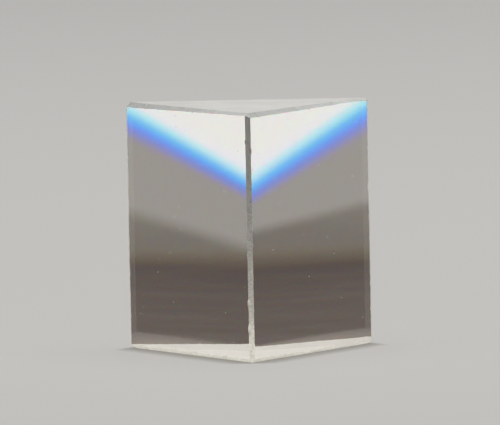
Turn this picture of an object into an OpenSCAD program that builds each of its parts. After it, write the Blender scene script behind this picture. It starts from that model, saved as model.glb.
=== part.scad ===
// Glass prism for bench optics: one block of optical glass, a triangle in plan, standing on its end.
// Two of its polished faces meet at a refracting edge that points to the front, along -Y, and the third
// polished face looks back, along +Y. The long edges are ground to narrow flats and both ends are
// bevelled all round, so that no edge of the glass is left sharp.
// The origin is on the base, under the middle of the triangle, and +Z runs up along the edges.

/* [Triangle] */
// Angle between the two faces that meet at the front edge, in degrees
apex_angle = 60; // [30:1:100]
// Width of each of those two faces, out to the sharp corners before grinding
face_width = 30; // [15:0.5:80]

/* [Length] */
// Length along the edges, from one end face to the other
prism_length = 30; // [10:0.5:150]

/* [Ground edges] */
// Width of the flat that is ground along each long edge
edge_flat = 0.65; // [0.2:0.05:2]
// Leg of the 45 degree bevel that is ground round each end
end_bevel = 0.5; // [0.1:0.05:1.5]

/* [Hidden] */
// The sharp triangle that the glass is ground from
base_width = 2 * face_width * sin(apex_angle / 2);
depth = face_width * cos(apex_angle / 2);
base_angle = (180 - apex_angle) / 2;

// Its corners, clockwise from above: front, left, right. Two thirds of the depth lie before the origin.
corners = [
    [0, -depth * 2 / 3],
    [-base_width / 2, depth / 3],
    [base_width / 2, depth / 3],
];
corner_angles = [apex_angle, base_angle, base_angle];

// How far a bevel cutter reaches past the glass, and its length, which is more than any side of the triangle
cutter_margin = 1;
cutter_length = 2 * face_width;

// Glass seen against a pale ground
glass_colour = [0.80, 0.83, 0.84, 0.55];

// Unit vector from one point to another
function heading(from, to) = (to - from) / norm(to - from);

// Distance from a sharp corner, along its sides, at which its ground flat begins
function set_back(corner_angle) = edge_flat / (2 * sin(corner_angle / 2));

// The two ends of the flat at corner i, the one towards the corner before it first
function flat_ends(i) = [
    for (step = [2, 1])
        corners[i] + set_back(corner_angles[i]) * heading(corners[i], corners[(i + step) % 3])
];

// The glass in plan: the triangle with its three corners ground flat
outline = [for (i = [0:2]) each flat_ends(i)];

// Wedge that grinds the end bevel on one side of the outline, at an end face at z = 0 with the glass below.
// The wedge lies along +X, with the outer side of the glass towards +Y.
module bevel_wedge() {
    rotate([90, 0, 90])
        linear_extrude(cutter_length, center = true)
            polygon([
                [-end_bevel - cutter_margin, cutter_margin],
                [cutter_margin, -end_bevel - cutter_margin],
                [cutter_margin, cutter_margin],
            ]);
}

// The bevel on every side of the outline, round an end face at z = 0 with the glass below
module end_bevels() {
    for (i = [0:len(outline) - 1]) {
        start = outline[i];
        along = outline[(i + 1) % len(outline)] - start;
        translate(start + along / 2)
            rotate(atan2(along.y, along.x))
                bevel_wedge();
    }
}

// The block of glass, ground and bevelled
module prism_block() {
    color(glass_colour)
        difference() {
            linear_extrude(prism_length)
                polygon(outline);
            translate([0, 0, prism_length])
                end_bevels();
            mirror([0, 0, 1])
                end_bevels();
        }
}

prism_block();
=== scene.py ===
# %% [markdown]
# # A glass prism
# This lesson dresses one block of optical glass. On the bench such a prism has three polished faces that
# light goes through, two ground ends that look like frosted glass, and narrow ground flats and bevels that
# take the sharpness off its edges. The CAD model gives the block's exact size and place. Blender adds what
# the grinder and the years leave behind, which is borders that wander, small shell-shaped chips, grain and
# dust. It also adds the way the glass treats light, which it bends more when it is blue than when it is red.

# %% Load the frame
import math
import random

import bmesh
import bpy
from mathutils import Matrix, Vector, noise


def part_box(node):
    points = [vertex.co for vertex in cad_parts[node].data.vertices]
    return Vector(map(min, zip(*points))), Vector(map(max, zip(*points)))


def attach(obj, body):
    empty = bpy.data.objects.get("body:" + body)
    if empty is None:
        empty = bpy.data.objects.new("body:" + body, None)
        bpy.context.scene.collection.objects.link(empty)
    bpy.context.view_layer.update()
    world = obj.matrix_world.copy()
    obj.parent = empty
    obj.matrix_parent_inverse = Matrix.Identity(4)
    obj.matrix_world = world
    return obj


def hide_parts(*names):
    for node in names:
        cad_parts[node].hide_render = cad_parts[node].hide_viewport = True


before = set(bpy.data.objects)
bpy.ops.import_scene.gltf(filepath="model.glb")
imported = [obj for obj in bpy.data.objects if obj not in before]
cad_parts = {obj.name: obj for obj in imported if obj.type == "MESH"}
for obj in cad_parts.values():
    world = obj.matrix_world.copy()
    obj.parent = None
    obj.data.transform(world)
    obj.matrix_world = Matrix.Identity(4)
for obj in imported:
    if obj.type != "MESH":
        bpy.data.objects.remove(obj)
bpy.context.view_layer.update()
block_low, block_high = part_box("prism_block")
block_height = block_high.z - block_low.z
MM = 0.001
print(f"block stands {block_height / MM:.2f} mm tall")

# %% [markdown]
# ## Reading the block's faces
# An imported CAD mesh is a set of triangles. Merging its doubled points and dissolving the lines between
# triangles that lie in one plane gives back the flat faces that the grinder made. Each face is then told by
# the way it looks: ends look up or down, bevels look slantwise, and of the upright faces the wide ones are
# polished and the narrow ones are the ground flats along the edges.

# %% Sort the faces by their finish
FINISH_ORDER = ("polished", "end", "bevel")
SAME_POINT = 0.001 * MM
SAME_PLANE = math.radians(1)
STEEP = 0.9
LEVEL = 0.1
NARROW = 2 * MM

cad_faces = bmesh.new()
cad_faces.from_mesh(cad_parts["prism_block"].data)
bmesh.ops.remove_doubles(cad_faces, verts=cad_faces.verts, dist=SAME_POINT)
bmesh.ops.dissolve_limit(
    cad_faces, angle_limit=SAME_PLANE, verts=cad_faces.verts, edges=cad_faces.edges
)
cad_faces.normal_update()


def finish_of(face):
    """Says how the grinder left this face. The flats along the edges count as bevels."""
    rise = abs(face.normal.z)
    if rise > STEEP:
        return "end"
    narrowest = min(edge.calc_length() for edge in face.edges)
    return "bevel" if rise > LEVEL or narrowest < NARROW else "polished"


finishes = {face: finish_of(face) for face in cad_faces.faces}
for name in FINISH_ORDER:
    print(name, "faces:", sum(finish == name for finish in finishes.values()))

# %% [markdown]
# ## Mitres that slip
# At each corner of the block three narrow ground faces meet in a mitre. They are ground by hand, one after
# another, so no two mitres end at quite the same height. Here every corner of a polished face slides a little
# up or down. The polished faces are upright, so they stay flat, and only the ground faces beside them change.
# The back face also gets a deeper bevel at its foot, and the two flats beside it are turned a little.

# %% Let the mitres slip
MITRE_SEED = 286
MITRE_SLIP = 0.28 * MM
BACK_RISE = 0.18 * MM
FLAT_TURN = 0.12 * MM

mitre_draw = random.Random(MITRE_SEED)
polished_faces = [face for face, finish in finishes.items() if finish == "polished"]
mitre_corners = {corner for face in polished_faces for corner in face.verts}
for corner in sorted(mitre_corners, key=lambda corner: [round(value / MM, 1) for value in corner.co]):
    corner.co.z += mitre_draw.uniform(-MITRE_SLIP, MITRE_SLIP)

back_face = max(polished_faces, key=lambda face: face.normal.y)
for corner in back_face.verts:
    corner.co.x -= math.copysign(FLAT_TURN, corner.co.x)
    if corner.co.z < block_height / 2:
        corner.co.z += BACK_RISE
print("mitre corners moved:", len(mitre_corners))

# %% [markdown]
# ## Borders that wander
# A bevel is ground by hand or on a lap after the faces are polished, so its border with the polish is never a
# ruled line: it wanders by a few hundredths of a millimetre and has small bites in it. The points of a border
# are moved only within the plane of the polished face, or of the ground end, so those faces stay perfectly
# flat. That matters for glass: a face that is off by a fraction of a degree would bend the picture seen
# through it.

# %% Draw every border once
BORDER_STEPS = 200
WANDERS = [(0.02 * MM, 2.2 * MM), (0.05 * MM, 0.5 * MM)]
BITE = 0.16 * MM
BITE_LENGTH = 0.55 * MM
BITE_ABOVE = 0.38
CORNER_FADE = 0.06


def smoother_face(edge):
    """The face beside this edge whose plane the border stays in: the polished one, or else the end."""
    return min(edge.link_faces, key=lambda face: FINISH_ORDER.index(finishes[face]))


def worn_border(edge):
    """Points from the edge's first corner to its second, pushed to and fro within the smoother face."""
    start, stop = (corner.co for corner in edge.verts)
    if edge.calc_length() < NARROW:
        return [start.copy(), stop.copy()]
    face = smoother_face(edge)
    inward = face.normal.cross(stop - start).normalized()
    if inward.dot(face.calc_center_median() - start) < 0:
        inward.negate()
    points = []
    for step in range(BORDER_STEPS + 1):
        along = step / BORDER_STEPS
        point = start.lerp(stop, along)
        wander = sum(width * noise.noise(point / length) for width, length in WANDERS)
        bite = BITE * max(0.0, noise.noise(point / BITE_LENGTH) - BITE_ABOVE)
        fade = min(1.0, along / CORNER_FADE, (1 - along) / CORNER_FADE)
        points.append(point + inward * fade * (wander + bite))
    return points


borders = {edge: worn_border(edge) for edge in cad_faces.edges}
print("borders:", len(borders), "with", sum(map(len, borders.values())), "points")

# %% [markdown]
# ## Filling the faces
# The polished faces and the ends are single flat polygons with many corners. A bevel is a ladder of small
# quads between its two long borders. All faces take their points from the same borders, so the mesh is
# closed: glass has to be, because Blender follows a ray from where it enters to where it leaves.

# %% Faces from borders
POINT_GRID = 0.0001 * MM

block_mesh = bmesh.new()
known_points = {}


def block_point(co):
    """The mesh's own point at this place, made once."""
    key = tuple(round(value / POINT_GRID) for value in co)
    if key not in known_points:
        known_points[key] = block_mesh.verts.new(co)
    return known_points[key]


def border_from(loop):
    """The border along this side of a face, in the face's own direction."""
    points = borders[loop.edge]
    return points if loop.edge.verts[0] == loop.vert else points[::-1]


def add_face(points, finish):
    """One flat polygon with the material slot of its finish."""
    face = block_mesh.faces.new([block_point(point) for point in points])
    face.material_index = FINISH_ORDER.index(finish)


def add_ladder(rail, far_rail, finish):
    """Quads between two borders that run the same way."""
    for here in range(len(rail) - 1):
        after = here + 1
        add_face([rail[here], rail[after], far_rail[after], far_rail[here]], finish)


for face, finish in finishes.items():
    sides = [border_from(loop) for loop in face.loops]
    long_sides = [side for side in sides if len(side) > 2]
    if finish == "bevel" and len(long_sides) == 2:
        add_ladder(long_sides[0], long_sides[1][::-1], finish)
    else:
        add_face([point for side in sides for point in side[:-1]], finish)
print("points:", len(block_mesh.verts))

# %% Build the ground block
FINISH_SLOTS = {"polished": "polished glass", "end": "ground ends", "bevel": "ground bevels"}


def add_object(name, data):
    """An object of this name in the scene, made from mesh, lamp or camera data."""
    made = bpy.data.objects.new(name, data)
    bpy.context.scene.collection.objects.link(made)
    return made


glass_mesh = bpy.data.meshes.new("glass_block")
block_mesh.to_mesh(glass_mesh)
for finish in FINISH_ORDER:
    glass_mesh.materials.append(bpy.data.materials.new(FINISH_SLOTS[finish]))
glass_block = add_object("glass_block", glass_mesh)
print("ground block:", len(glass_mesh.polygons), "faces")

# %% [markdown]
# ## Chips
# Glass breaks in shells. A knock on an edge lifts off a thin flake and leaves a smooth, shallow bowl, and
# those bowls catch the light as tiny sparks along the edges. Each one here is cut by a ball, drawn out along
# the edge, that stands mostly outside the glass, so that only its belly bites in. A fixed seed puts the chips
# in the same places on every run.

# %% The ball that cuts a chip
CHIP_SEED = 3
CHIP_RADIUS = (0.16 * MM, 0.55 * MM)
CHIP_SHRINK = (0.4, 1.0)
CHIP_DEPTH = (0.05 * MM, 0.13 * MM)
SMALL_CHIP_DEPTH = 0.35
CHIP_STRETCH = (1.0, 1.9)
BALL_ROUNDNESS = 3

chip_draw = random.Random(CHIP_SEED)
chip_mesh = bmesh.new()


def add_chip(edge, along):
    """A ball whose belly bites into the edge at this share of its length."""
    start, stop = (corner.co for corner in edge.verts)
    outward = sum((face.normal for face in edge.link_faces), Vector()).normalized()
    direction = (stop - start).normalized()
    across = outward.cross(direction)
    radius = chip_draw.uniform(*CHIP_RADIUS) * chip_draw.uniform(*CHIP_SHRINK)
    depth = chip_draw.uniform(*CHIP_DEPTH) * min(1.0, radius / CHIP_RADIUS[1] + SMALL_CHIP_DEPTH)
    stretch = chip_draw.uniform(*CHIP_STRETCH)
    centre = start.lerp(stop, along) + outward * (radius - depth)
    axes = Matrix((direction * radius * stretch, across * radius, outward * radius)).transposed()
    place = Matrix.Translation(centre) @ axes.to_4x4()
    bmesh.ops.create_icosphere(chip_mesh, subdivisions=BALL_ROUNDNESS, radius=1.0, matrix=place)


print(f"chips bite up to {CHIP_DEPTH[1] / MM:.2f} mm deep")

# %% [markdown]
# The upright edges are handled most and have the most chips, and the rims of the ends have few. All balls are
# in one mesh, and one Boolean modifier takes them away together. Its result is read back as a plain mesh, so
# that the block carries no modifier and no cutter stays in the scene.

# %% Place the chips
CHIPS_ALONG = 6
CHIPS_ROUND = 1
CHIP_PLACE = (0.15, 0.85)

chipped_edges = [
    edge for edge in cad_faces.edges
    if edge.calc_length() > NARROW and "polished" in {finishes[face] for face in edge.link_faces}
]
for edge in chipped_edges:
    rise = abs((edge.verts[1].co - edge.verts[0].co).normalized().z)
    chips_here = CHIPS_ALONG if rise > STEEP else CHIPS_ROUND
    for place in range(chips_here):
        add_chip(edge, (place + chip_draw.uniform(*CHIP_PLACE)) / chips_here)
for face in chip_mesh.faces:
    face.smooth = True
print("chips are placed along", len(chipped_edges), "edges")

# %% Cut the chips
chip_data = bpy.data.meshes.new("chip_cutters")
chip_mesh.to_mesh(chip_data)
chip_data.materials.append(bpy.data.materials[FINISH_SLOTS["bevel"]])
chip_cutters = add_object("chip_cutters", chip_data)

cut = glass_block.modifiers.new("chips", "BOOLEAN")
cut.operation = "DIFFERENCE"
cut.solver = "EXACT"
cut.object = chip_cutters
bpy.context.view_layer.update()
evaluated = glass_block.evaluated_get(bpy.context.evaluated_depsgraph_get())
chipped = bpy.data.meshes.new_from_object(evaluated)
glass_block.modifiers.clear()
glass_block.data = chipped
chipped.name = "glass_block"
bpy.data.objects.remove(chip_cutters)

check = bmesh.new()
check.from_mesh(chipped)
open_edges = sum(len(edge.link_faces) != 2 for edge in check.edges)
print("chipped block:", len(check.faces), "faces, open edges:", open_edges)
check.free()

# %% [markdown]
# ## Building materials from nodes
# A material in Blender is a tree of nodes. A few small helpers keep the material cells short. The most used
# one adds a node and sets or links its inputs, and the others put it to the commonest uses.

# %% Node helpers
def put(tree, kind, inputs=None, **settings):
    """Adds a node. An input that is given as a socket is linked, and any other is set."""
    node = tree.nodes.new(kind)
    for name, value in settings.items():
        setattr(node, name, value)
    for name, value in (inputs or {}).items():
        if isinstance(value, bpy.types.NodeSocket):
            tree.links.new(value, node.inputs[name])
        else:
            node.inputs[name].default_value = value
    return node


def reckon(tree, operation, *values):
    """A Math node's result."""
    return put(tree, "ShaderNodeMath", dict(enumerate(values)), operation=operation).outputs[0]


def blend(tree, share, first, second, **settings):
    """A colour between two others. A Mix node keeps its colours in sockets 6 and 7."""
    sockets = {0: share, 6: first, 7: second}
    return put(tree, "ShaderNodeMix", sockets, data_type="RGBA", **settings).outputs[2]


def between(tree, share, first, second):
    """A value between two others. A Mix node keeps its values in sockets 2 and 3."""
    return put(tree, "ShaderNodeMix", {0: share, 2: first, 3: second}).outputs[0]


def mix_shaders(tree, share, first, second):
    """A surface between two others."""
    return put(tree, "ShaderNodeMixShader", {0: share, 1: first, 2: second}).outputs[0]


def spread(tree, value, span, new_span=(0.0, 1.0), ends="LINEAR"):
    """Maps a value from one span to another and holds it there."""
    low, high = span
    new_low, new_high = new_span
    sockets = {"Value": value, "From Min": low, "From Max": high, "To Min": new_low, "To Max": new_high}
    return put(tree, "ShaderNodeMapRange", sockets, interpolation_type=ends).outputs["Result"]


def soft_spread(tree, value, span, new_span=(0.0, 1.0)):
    """The same with soft ends."""
    return spread(tree, value, span, new_span, ends="SMOOTHSTEP")


# %% [markdown]
# A node group is a small tree of its own that several materials can use. Its sockets are named here, so that
# each material can place it with values of its own.

# %% Helpers for groups and materials
def new_group(name, inputs, outputs):
    """A group with these number sockets. Returns its tree and what comes in."""
    tree = bpy.data.node_groups.new(name, "ShaderNodeTree")
    for socket, value in inputs.items():
        made = tree.interface.new_socket(socket, in_out="INPUT", socket_type="NodeSocketFloat")
        made.default_value = value
    for socket in outputs:
        tree.interface.new_socket(socket, in_out="OUTPUT", socket_type="NodeSocketFloat")
    return tree, put(tree, "NodeGroupInput").outputs


def use_group(tree, group, values=None):
    """Places a group with values of its own. Returns what it puts out."""
    return put(tree, "ShaderNodeGroup", values, node_tree=group).outputs


def new_material(name):
    """A material with an empty node tree, made once for each name. Returns it and its tree."""
    material = bpy.data.materials.get(name) or bpy.data.materials.new(name)
    material.use_nodes = True
    material.node_tree.nodes.clear()
    return material, material.node_tree


def speckle(tree, place, size, detail):
    """Noise whose spots are about this wide."""
    scale = reckon(tree, "DIVIDE", 1.0, size)
    sockets = {"Vector": place, "Scale": scale, "Detail": detail}
    return put(tree, "ShaderNodeTexNoise", sockets).outputs["Fac"]


# %% [markdown]
# ## Ground grain
# A ground face is a field of tiny pits left by the grit. Seen close it glitters a little, and seen from a
# step away it is matt and milky, a shade unevenly, because the lap pressed harder in some places. The group
# gives a height for a Bump node, a roughness and a tone. The ends and the bevels both use it, the bevels with
# coarser grit. Most of a noise lies in the middle of its range, so that middle is spread out first.

# %% Group: ground grain
NOISE_SPAN = (0.3, 0.7)
PIT_DETAIL = 3.0
PATCH_DETAIL = 4.0

grain_group, grain_in = new_group(
    "ground grain",
    {"Grit Size": 0.1 * MM, "Patch Size": 5 * MM, "Least Roughness": 0.5, "Most Roughness": 0.7,
     "Darkest Patch": 0.9, "Darkest Pit": 0.94},
    ["Height", "Roughness", "Tone"],
)
grain_place = put(grain_group, "ShaderNodeTexCoord").outputs["Object"]
pits = speckle(grain_group, grain_place, grain_in["Grit Size"], PIT_DETAIL)
patches = speckle(grain_group, grain_place, grain_in["Patch Size"], PATCH_DETAIL)
roughness_span = (grain_in["Least Roughness"], grain_in["Most Roughness"])
patch_tone = spread(grain_group, patches, NOISE_SPAN, (grain_in["Darkest Patch"], 1.0))
pit_tone = spread(grain_group, pits, NOISE_SPAN, (grain_in["Darkest Pit"], 1.0))
put(grain_group, "NodeGroupOutput", {
    "Height": pits,
    "Roughness": spread(grain_group, patches, NOISE_SPAN, roughness_span),
    "Tone": reckon(grain_group, "MULTIPLY", patch_tone, pit_tone),
})
print("ground grain:", len(grain_group.nodes), "nodes")

# %% [markdown]
# ## Dust and handling
# Polished glass that stands on a bench gathers a few motes of dust and the faint film that fingers leave. The
# motes come from a Voronoi texture in space: wherever one of its points lies within a mote's radius of the
# glass, a small round speck shows. The film is broad, soft noise. Every finish of the prism uses the group.

# %% Group: dust and handling
FILM_SPAN = (0.45, 0.75)
FILM_DETAIL = 5.0

dust_group, dust_in = new_group(
    "dust and handling",
    {"Mote Spacing": 1.8 * MM, "Mote Radius": 0.12 * MM, "Film Size": 9 * MM},
    ["Mote", "Film"],
)
dust_place = put(dust_group, "ShaderNodeTexCoord").outputs["Object"]
mote_scale = reckon(dust_group, "DIVIDE", 1.0, dust_in["Mote Spacing"])
mote_cells = put(dust_group, "ShaderNodeTexVoronoi", {"Vector": dust_place, "Scale": mote_scale}).outputs
mote_distance = reckon(dust_group, "MULTIPLY", mote_cells["Distance"], dust_in["Mote Spacing"])
film_noise = speckle(dust_group, dust_place, dust_in["Film Size"], FILM_DETAIL)
put(dust_group, "NodeGroupOutput", {
    "Mote": soft_spread(dust_group, mote_distance, (dust_in["Mote Radius"], 0.0)),
    "Film": spread(dust_group, film_noise, FILM_SPAN),
})
print("dust and handling:", len(dust_group.nodes), "nodes")

# %% [markdown]
# ## Polished glass that splits light
# Glass bends blue more than red, and a prism is cut to show it. Blender's glass has one index of refraction,
# so the split is built by hand. From outside, a plain Glass shader takes the light in. From inside, a Fresnel
# node shares the light between a mirror, which keeps all colours together, and three refracting shaders, one
# each for red, green and blue with an index of its own. A real prism splits the light at both faces. Here
# only the way out does it, so the three indices lie twice as far apart as in flint glass, which comes to much
# the same fan of colours.

# %% Material: polished glass
GLASS_INDEX = 1.62
RED, RED_INDEX = (1, 0, 0, 1), 1.609
GREEN, GREEN_INDEX = (0, 1, 0, 1), 1.620
BLUE, BLUE_INDEX = (0, 0, 1, 1), 1.6433
CLEAR = (1.0, 1.0, 1.0, 1)
DUST_COLOUR = (0.90, 0.89, 0.87, 1)
DUST_ROUGHNESS = 0.9
FILM_ROUGHNESS = 0.012
POLISHED_LIGHT_IN = 0.9


def let_light_in(tree, shader, share):
    """Lets this share of a lamp's light straight through, where traced glass would cast a full shadow."""
    for_lamps = put(tree, "ShaderNodeBsdfTransparent", {"Color": (share, share, share, 1)}).outputs[0]
    asked = put(tree, "ShaderNodeLightPath").outputs["Is Shadow Ray"]
    return mix_shaders(tree, asked, shader, for_lamps)


polished, tree = new_material(FINISH_SLOTS["polished"])
dust = use_group(tree, dust_group)
dusted = blend(tree, dust["Mote"], CLEAR, DUST_COLOUR)
film = reckon(tree, "MULTIPLY", dust["Film"], FILM_ROUGHNESS)
rough = reckon(tree, "MULTIPLY_ADD", dust["Mote"], DUST_ROUGHNESS, film)
way_in = put(tree, "ShaderNodeBsdfGlass", {"Color": dusted, "Roughness": rough, "IOR": GLASS_INDEX})
red, green, blue = (
    put(tree, "ShaderNodeBsdfRefraction", {"Color": colour, "Roughness": 0.0, "IOR": index}).outputs[0]
    for colour, index in ((RED, RED_INDEX), (GREEN, GREEN_INDEX), (BLUE, BLUE_INDEX))
)
fan = put(tree, "ShaderNodeAddShader", {0: red, 1: green}).outputs[0]
fan = put(tree, "ShaderNodeAddShader", {0: fan, 1: blue}).outputs[0]
mirror = put(tree, "ShaderNodeBsdfGlossy", {"Color": CLEAR, "Roughness": 0.0}).outputs[0]
mirror_share = put(tree, "ShaderNodeFresnel", {"IOR": GLASS_INDEX}).outputs[0]
way_out = mix_shaders(tree, mirror_share, fan, mirror)
from_inside = put(tree, "ShaderNodeNewGeometry").outputs["Backfacing"]
both_ways = mix_shaders(tree, from_inside, way_in.outputs[0], way_out)
lit = let_light_in(tree, both_ways, POLISHED_LIGHT_IN)
put(tree, "ShaderNodeOutputMaterial", {"Surface": lit})
print(f"{polished.name}: blue and red are {BLUE_INDEX - RED_INDEX:.4f} apart")

# %% [markdown]
# ## Ground glass
# The ends and the bevels are the same glass with a broken skin. Most of the light that meets it comes
# straight back as white, a little goes on into the block, scattered, and some glows through from the other
# side. A Principled shader with a small share of rough transmission gives the first two, and a Translucent
# shader that is mixed in gives the glow. From inside the block the skin is one plain shade without grain,
# because the grain is too fine to be seen through the thickness of the glass. That inside shade is a painted
# shade of its own, set apart from the outer colours for how bright the skin looks from within the glass.

# %% Materials: ground ends and ground bevels
# Painted shade: the colour the ground skin is given when it is seen from inside the glass.
PAINTED_INSIDE_SHADE = (0.745, 0.73, 0.70, 1)
GROUND_MOTE = 0.1 * MM
PIT_DEPTH = 0.02 * MM


def ground_glass(name, shade, through, glowing, light_in, bump, grain_values):
    """Frosted glass. Through is the share of light that goes on into the block."""
    _, tree = new_material(name)
    grain = use_group(tree, grain_group, grain_values)
    dust = use_group(tree, dust_group, {"Mote Radius": GROUND_MOTE})
    toned = blend(tree, 1.0, shade, grain["Tone"], blend_type="MULTIPLY")
    dusty = blend(tree, dust["Mote"], toned, DUST_COLOUR)
    from_inside = put(tree, "ShaderNodeNewGeometry").outputs["Backfacing"]
    # Seen from inside, the grained colour gives way to the painted inside shade.
    shown = blend(tree, from_inside, dusty, PAINTED_INSIDE_SHADE)
    pits = {"Height": grain["Height"], "Strength": bump, "Distance": PIT_DEPTH}
    relief = put(tree, "ShaderNodeBump", pits).outputs[0]
    skin = put(
        tree, "ShaderNodeBsdfPrincipled",
        {"Base Color": shown, "Roughness": grain["Roughness"], "IOR": GLASS_INDEX,
         "Transmission Weight": through, "Normal": relief},
    ).outputs[0]
    glow = put(tree, "ShaderNodeBsdfTranslucent", {"Color": shown}).outputs[0]
    lit = let_light_in(tree, mix_shaders(tree, glowing, skin, glow), light_in)
    put(tree, "ShaderNodeOutputMaterial", {"Surface": lit})
    print(f"{name}: {len(tree.nodes)} nodes")


ground_glass(
    FINISH_SLOTS["end"], shade=(0.865, 0.858, 0.828, 1), through=0.2, glowing=0.3, light_in=0.9, bump=0.35,
    grain_values={"Grit Size": 0.09 * MM, "Patch Size": 6 * MM, "Most Roughness": 0.66},
)
ground_glass(
    FINISH_SLOTS["bevel"], shade=(0.762, 0.767, 0.744, 1), through=0.05, glowing=0.1, light_in=0.6, bump=0.5,
    grain_values={"Grit Size": 0.3 * MM, "Patch Size": 2.5 * MM, "Darkest Pit": 0.66},
)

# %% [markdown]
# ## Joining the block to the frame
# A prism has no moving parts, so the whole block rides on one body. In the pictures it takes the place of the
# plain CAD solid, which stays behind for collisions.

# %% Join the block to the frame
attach(glass_block, "root")
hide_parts("prism_block")
print("joined:", glass_block.name, [material.name for material in glass_block.data.materials])

# %% [markdown]
# ## A plan of the ground
# The floor and the sheet on it both need to know where a spot lies around the block. This group gives that
# once, counted in heights of the block: how far to the right and to the back the spot lies, how far from the
# middle, and how far outside the triangle of the base. The block is as tall as its faces are wide, so that
# triangle has sides of one.

# %% Group: ground plan
FACE_LEAN = math.radians(30)
FACE_REACH = math.tan(FACE_LEAN) / 2

plan_group, plan_in = new_group(
    "ground plan", {"Block Height": block_height}, ["Right", "Back", "Reach", "Outside"]
)
plan_scale = reckon(plan_group, "DIVIDE", 1.0, plan_in["Block Height"])
plan_place = put(plan_group, "ShaderNodeTexCoord").outputs["Object"]
plan_spot = put(
    plan_group, "ShaderNodeVectorMath", {0: plan_place, "Scale": plan_scale}, operation="SCALE"
).outputs[0]
spot_parts = put(plan_group, "ShaderNodeSeparateXYZ", {0: plan_spot}).outputs
spot_aside = reckon(plan_group, "ABSOLUTE", spot_parts["X"])
front_lean = reckon(plan_group, "MULTIPLY", spot_parts["Y"], -math.sin(FACE_LEAN))
before_front = reckon(plan_group, "MULTIPLY_ADD", spot_aside, math.cos(FACE_LEAN), front_lean)
beyond_faces = reckon(plan_group, "MAXIMUM", before_front, spot_parts["Y"])
put(plan_group, "NodeGroupOutput", {
    "Right": spot_parts["X"],
    "Back": spot_parts["Y"],
    "Reach": put(plan_group, "ShaderNodeVectorMath", {0: plan_spot}, operation="LENGTH").outputs["Value"],
    "Outside": reckon(plan_group, "SUBTRACT", beyond_faces, FACE_REACH),
})
print("ground plan:", len(plan_group.nodes), "nodes")

# %% [markdown]
# ## Floor
# A plain pale floor lies a hair below the block, so that the two never share a plane. Close to the block less
# light comes down to it. The glass lets most of the lamp through, so that shade is painted, narrow and soft.

# %% Floor
FLOOR_HALF = 4.0
FLOOR_DROP = 0.02 * MM
FLOOR_COLOUR = (0.50, 0.49, 0.475, 1)
FLOOR_ROUGHNESS = 0.9
FLOOR_GLOSS = 0.1
CONTACT_COLOUR = (0.30, 0.29, 0.27, 1)
CONTACT = (0.0, 0.12)
CONTACT_END = (0.55, 0.60)


def flat_square(name, drop):
    """A wide square this far below the block's base, for the stage."""
    mesh = bpy.data.meshes.new(name)
    corners = [(x * FLOOR_HALF, y * FLOOR_HALF, -drop) for x, y in ((-1, -1), (1, -1), (1, 1), (-1, 1))]
    mesh.from_pydata(corners, [], [(0, 1, 2, 3)])
    square = add_object(name, mesh)
    return square


floor = flat_square("floor", FLOOR_DROP)
floor_paint, tree = new_material("floor paint")
floor.data.materials.append(floor_paint)
plan = use_group(tree, plan_group)
off_block = soft_spread(tree, plan["Outside"], CONTACT)
off_shade = soft_spread(tree, plan["Reach"], CONTACT_END)
shaded = blend(tree, reckon(tree, "MAXIMUM", off_block, off_shade), CONTACT_COLOUR, FLOOR_COLOUR)
pale = put(
    tree, "ShaderNodeBsdfPrincipled",
    {"Base Color": shaded, "Roughness": FLOOR_ROUGHNESS, "Specular IOR Level": FLOOR_GLOSS},
).outputs[0]
put(tree, "ShaderNodeOutputMaterial", {"Surface": pale})
print("floor paint:", len(tree.nodes), "nodes")

# %% [markdown]
# ## A sheet for the glass to show
# A clear prism shows almost nothing of itself. It shows what lies around it, bent sideways, so a photographer
# lays sheets beside it to give it something to show. Here one dark sheet lies on the floor, with a slanting
# edge on each side and white beyond. The lamp does not light it: an Emission shader makes it give off its own
# light, so its dark, white and tinted shades are painted light, standing in for the dark surroundings and the
# bright light that the faces bend and mirror. Its object's ray visibility hides it from the camera, so the
# pictures keep their plain floor, and from shadows, so the lamp still reaches that floor.
#
# The sheet is drawn with plain arithmetic on the ground plan. On each side its edge follows one line near the
# block and another farther back.

# %% Lay the sheet and find its edges
SHEET_DROP = 0.01 * MM
EDGE_LINES = {"right near": (3.42, 0.890), "right far": (2.30, 0.8165),
              "left near": (2.61, 1.073), "left far": (2.035, 0.840)}
EDGE_TURNS = (4.4, 5.2)

side_sheet = flat_square("side_sheet", SHEET_DROP)
side_sheet.visible_camera = False
side_sheet.visible_shadow = False
# The sheet's shades are painted light: it glows through an Emission shader, and the lamp does not light it.
sheet_glow, tree = new_material("sheet paint")
side_sheet.data.materials.append(sheet_glow)
plan = use_group(tree, plan_group)
edges = {
    name: reckon(tree, "MULTIPLY_ADD", plan["Back"], slope, start)
    for name, (start, slope) in EDGE_LINES.items()
}
on_right = reckon(tree, "GREATER_THAN", plan["Right"], 0.0)
near_edge = between(tree, on_right, edges["left near"], edges["right near"])
far_edge = between(tree, on_right, edges["left far"], edges["right far"])
far_share = soft_spread(tree, plan["Back"], EDGE_TURNS)
sheet_edge = between(tree, far_share, near_edge, far_edge)
beyond = reckon(tree, "SUBTRACT", reckon(tree, "ABSOLUTE", plan["Right"]), sheet_edge)
print("edges of the sheet:", ", ".join(edges))

# %% [markdown]
# In front of a fold the sheet darkens with distance, and faint streaks keep it from looking like paint.
# Behind the fold it is one lighter shade. In this near part its edge to the white is plain and narrow.

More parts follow.
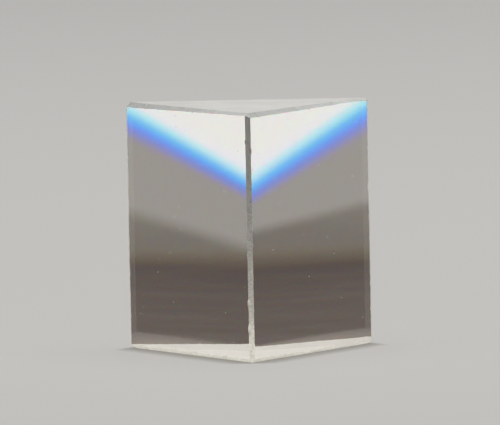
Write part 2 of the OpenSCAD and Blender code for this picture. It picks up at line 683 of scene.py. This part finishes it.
# %% Near part of the sheet
WHITE = (0.785, 0.775, 0.735, 1)
SHEET_BACK = (0.190, 0.172, 0.150, 1)
SHEET_SPAN = (0.0, 5.0)
SHEET_STOPS = [
    (0.50, (0.25, 0.212, 0.182, 1)), (0.85, (0.120, 0.100, 0.088, 1)),
    (2.5, (0.118, 0.097, 0.085, 1)), (4.5, (0.094, 0.076, 0.068, 1)),
]
STREAK_SIZE = (1.1, 0.24, 1.0)
STREAK_DETAIL = 3.0
STREAKS = (0.93, 1.07)
FOLD = (2.95, 3.85)
NEAR_SOFTNESS = (-0.2, 0.2)
EDGE_STARTS = (0.6, 1.6)


def ramp_colour(tree, value, span, stops):
    """A colour ramp whose stops are given on the value's own scale."""
    low, high = span
    node = put(tree, "ShaderNodeValToRGB", {0: spread(tree, value, span)})
    elements = node.color_ramp.elements
    while len(elements) < len(stops):
        elements.new(0.5)
    for element, (position, colour) in zip(elements, stops):
        element.position = (position - low) / (high - low)
        element.color = colour
    return node.outputs["Color"]


sheet_place = put(tree, "ShaderNodeTexCoord").outputs["Object"]
streak_scale = [1 / (size * block_height) for size in STREAK_SIZE]
streak_spot = put(tree, "ShaderNodeMapping", {"Vector": sheet_place, "Scale": streak_scale}).outputs[0]
streak_noise = put(tree, "ShaderNodeTexNoise", {"Vector": streak_spot, "Scale": 1.0, "Detail": STREAK_DETAIL})
streaks = soft_spread(tree, streak_noise.outputs["Fac"], NOISE_SPAN, STREAKS)
near_paint = ramp_colour(tree, plan["Reach"], SHEET_SPAN, SHEET_STOPS)
near_paint = blend(tree, 1.0, near_paint, streaks, blend_type="MULTIPLY")
near_paint = blend(tree, soft_spread(tree, plan["Back"], FOLD), near_paint, SHEET_BACK)
near_white = soft_spread(tree, beyond, NEAR_SOFTNESS)
near_white = reckon(tree, "MULTIPLY", near_white, soft_spread(tree, plan["Back"], EDGE_STARTS))
near_paint = blend(tree, near_white, near_paint, WHITE)
print("near part of the sheet:", len(SHEET_STOPS), "shades")

# %% [markdown]
# The far part is what the faces show at the top, and its edge makes the coloured border there, together with
# the glass's own split of light. A ramp across that edge makes it soft, and its dark side softer the farther
# off it is. Just inside the edge the red is held back and the sheet is tinted cyan and blue: a painted fringe
# that adds to the one the three refracting shaders make.

# %% Far part of the sheet
EDGE_SHARP = 7.0
EDGE_SPAN = (-0.5, 0.9)
# Painted fringe: the cyan and blue stops tint the edge that the faces show, on top of the glass's own split.
EDGE_STOPS = [
    (-0.35, SHEET_BACK), (-0.15, (0.0, 0.132, 0.155, 1)), (-0.075, (0.02, 0.205, 0.25, 1)),
    (0.14, (0.770, 0.750, 0.87, 1)), (0.40, (0.785, 0.785, 0.83, 1)), (0.70, WHITE),
]

sharpness = reckon(tree, "DIVIDE", EDGE_SHARP, plan["Back"])
dark_side = reckon(tree, "MULTIPLY", reckon(tree, "MINIMUM", beyond, 0.0), sharpness)
across = reckon(tree, "ADD", reckon(tree, "MAXIMUM", beyond, 0.0), dark_side)
far_paint = ramp_colour(tree, across, EDGE_SPAN, EDGE_STOPS)
paint = blend(tree, far_share, near_paint, far_paint)
print("far part of the sheet:", len(EDGE_STOPS), "shades")

# %% [markdown]
# Two patches of light finish the sheet. One lies under the block and shines up into its ground base. The
# other is a pool close around it that only lights the ground faces. The sheet is brighter to rays that a
# face mirrors than to those that pass through. Rays that come down steeply go on through the sheet to the
# pale floor, and rays from below pass it too, so from higher up the block shows that floor alone.

# %% Light on the sheet
UNDER = (1.05, 1.01, 0.92, 1)
UNDER_END = (0.05, 0.02)
POOL = (2.3, 2.12, 1.84, 1)
POOL_START = (-0.01, 0.05)
POOL_REACH = (1.22, 0.72)
AT_LEAST_ONCE = 0.5
MIRROR_GAIN = 0.75
SLANT = (0.87, 0.81)

paint = blend(tree, soft_spread(tree, plan["Outside"], UNDER_END), paint, UNDER)
path = put(tree, "ShaderNodeLightPath").outputs
scatterings = reckon(tree, "ADD", path["Is Diffuse Ray"], path["Diffuse Depth"])
scattered = reckon(tree, "GREATER_THAN", scatterings, AT_LEAST_ONCE)
pool_near = soft_spread(tree, plan["Reach"], POOL_REACH)
pool_share = reckon(tree, "MULTIPLY", pool_near, soft_spread(tree, plan["Outside"], POOL_START))
paint = blend(tree, reckon(tree, "MULTIPLY", pool_share, scattered), paint, POOL)
mirrored = reckon(tree, "MULTIPLY", path["Is Reflection Ray"], path["Is Glossy Ray"])
gain = reckon(tree, "MULTIPLY_ADD", mirrored, MIRROR_GAIN, 1.0)
# Painted light: the sheet glows in its painted colours, brighter for rays that a face mirrors.
sheet_light = put(tree, "ShaderNodeEmission", {"Color": paint, "Strength": gain}).outputs[0]
slant = put(tree, "ShaderNodeLayerWeight").outputs["Facing"]
not_scattered = reckon(tree, "SUBTRACT", 1.0, scattered)
steep = reckon(tree, "MULTIPLY", soft_spread(tree, slant, SLANT), not_scattered)
from_below = put(tree, "ShaderNodeNewGeometry").outputs["Backfacing"]
passing = reckon(tree, "MAXIMUM", steep, from_below)
nothing = put(tree, "ShaderNodeBsdfTransparent").outputs[0]
put(tree, "ShaderNodeOutputMaterial", {"Surface": mix_shaders(tree, passing, sheet_light, nothing)})
sheet_glow.cycles.emission_sampling = "NONE"
print("sheet paint:", len(tree.nodes), "nodes")

# %% [markdown]
# ## Light
# One wide, soft lamp hangs above, a little behind the block and to its right. A lamp this wide casts no hard
# shadow, which suits a small glossy thing.

# %% Lamp
LAMP_SIZE = 1.2
LAMP_POWER = 12.6
LAMP_PLACE = Vector((0.12, 0.12, 1.30))

lamp_data = bpy.data.lights.new("soft_lamp", "AREA")
lamp_data.shape = "SQUARE"
lamp_data.size = LAMP_SIZE
lamp_data.energy = LAMP_POWER
lamp = add_object("soft_lamp", lamp_data)
lamp.location = LAMP_PLACE
lamp.rotation_euler = (-LAMP_PLACE).to_track_quat("-Z", "Y").to_euler()
print(f"lamp: {LAMP_POWER} W, {LAMP_SIZE} m wide, {LAMP_PLACE.length:.2f} m away")

# %% [markdown]
# The sky fills in the rest and is brightest overhead. What the camera and the glass see of it is a plain pale
# grey like the floor.

# %% Sky
SKY_RISE = (0.35, 1.0)
SKY_LIGHT = (0.04, 0.95)
SKY_SEEN = (0.485, 0.475, 0.46, 1)

world = bpy.data.worlds.new("studio_sky")
bpy.context.scene.world = world
world.use_nodes = True
tree = world.node_tree
tree.nodes.clear()
gaze = put(tree, "ShaderNodeTexCoord").outputs["Generated"]
rise = put(tree, "ShaderNodeSeparateXYZ", {0: gaze}).outputs["Z"]
sky_strength = soft_spread(tree, rise, SKY_RISE, SKY_LIGHT)
lighting = put(tree, "ShaderNodeBackground", {"Color": CLEAR, "Strength": sky_strength}).outputs[0]
showing = put(tree, "ShaderNodeBackground", {"Color": SKY_SEEN, "Strength": 1.0}).outputs[0]
path = put(tree, "ShaderNodeLightPath").outputs
by_glass = reckon(tree, "MAXIMUM", path["Is Glossy Ray"], path["Is Transmission Ray"])
seen = reckon(tree, "MAXIMUM", path["Is Camera Ray"], by_glass)
put(tree, "ShaderNodeOutputWorld", {"Surface": mix_shaders(tree, seen, lighting, showing)})
bpy.context.scene.view_settings.view_transform = "Standard"
print("sky:", len(tree.nodes), "nodes")

# %% [markdown]
# ## Camera
# The photograph was taken from far off with a long lens, a few degrees above level, and held very slightly
# askew. These values were found by fitting the block's edges to their places in the picture. Of the
# camera's own axes, one points from the block toward the camera, and the roll turns the other two about it.

# %% Camera
PICTURE_WIDTH = 500
FOCAL_PIXELS = 13265
SENSOR_WIDTH = 36
CLIP_START = 0.05
CLIP_END = 20
CAMERA_DISTANCE = 1.6062
CAMERA_RISE = math.radians(4.240)
CAMERA_YAW = math.radians(-0.144)
CAMERA_ROLL = math.radians(1.114)
AIM_ASIDE = 0.119 * MM
AIM_HEIGHT = 16.86 * MM

level = math.cos(CAMERA_RISE)
toward = Vector((math.sin(CAMERA_YAW) * level, -math.cos(CAMERA_YAW) * level, math.sin(CAMERA_RISE)))
right = Vector((math.cos(CAMERA_YAW), math.sin(CAMERA_YAW), 0))
up = toward.cross(right)
tilted_right = right * math.cos(CAMERA_ROLL) - up * math.sin(CAMERA_ROLL)
tilted_up = right * math.sin(CAMERA_ROLL) + up * math.cos(CAMERA_ROLL)
eye = right * AIM_ASIDE + Vector((0, 0, AIM_HEIGHT)) + toward * CAMERA_DISTANCE

camera_data = bpy.data.cameras.new("camera")
camera_data.sensor_width = SENSOR_WIDTH
camera_data.lens = FOCAL_PIXELS * SENSOR_WIDTH / PICTURE_WIDTH
camera_data.clip_start = CLIP_START
camera_data.clip_end = CLIP_END
camera = add_object("camera", camera_data)
axes = Matrix((tilted_right, tilted_up, toward)).transposed().to_4x4()
camera.matrix_world = Matrix.Translation(eye) @ axes
bpy.context.scene.camera = camera
print(f"lens {camera_data.lens:.0f} mm at {CAMERA_DISTANCE} m")
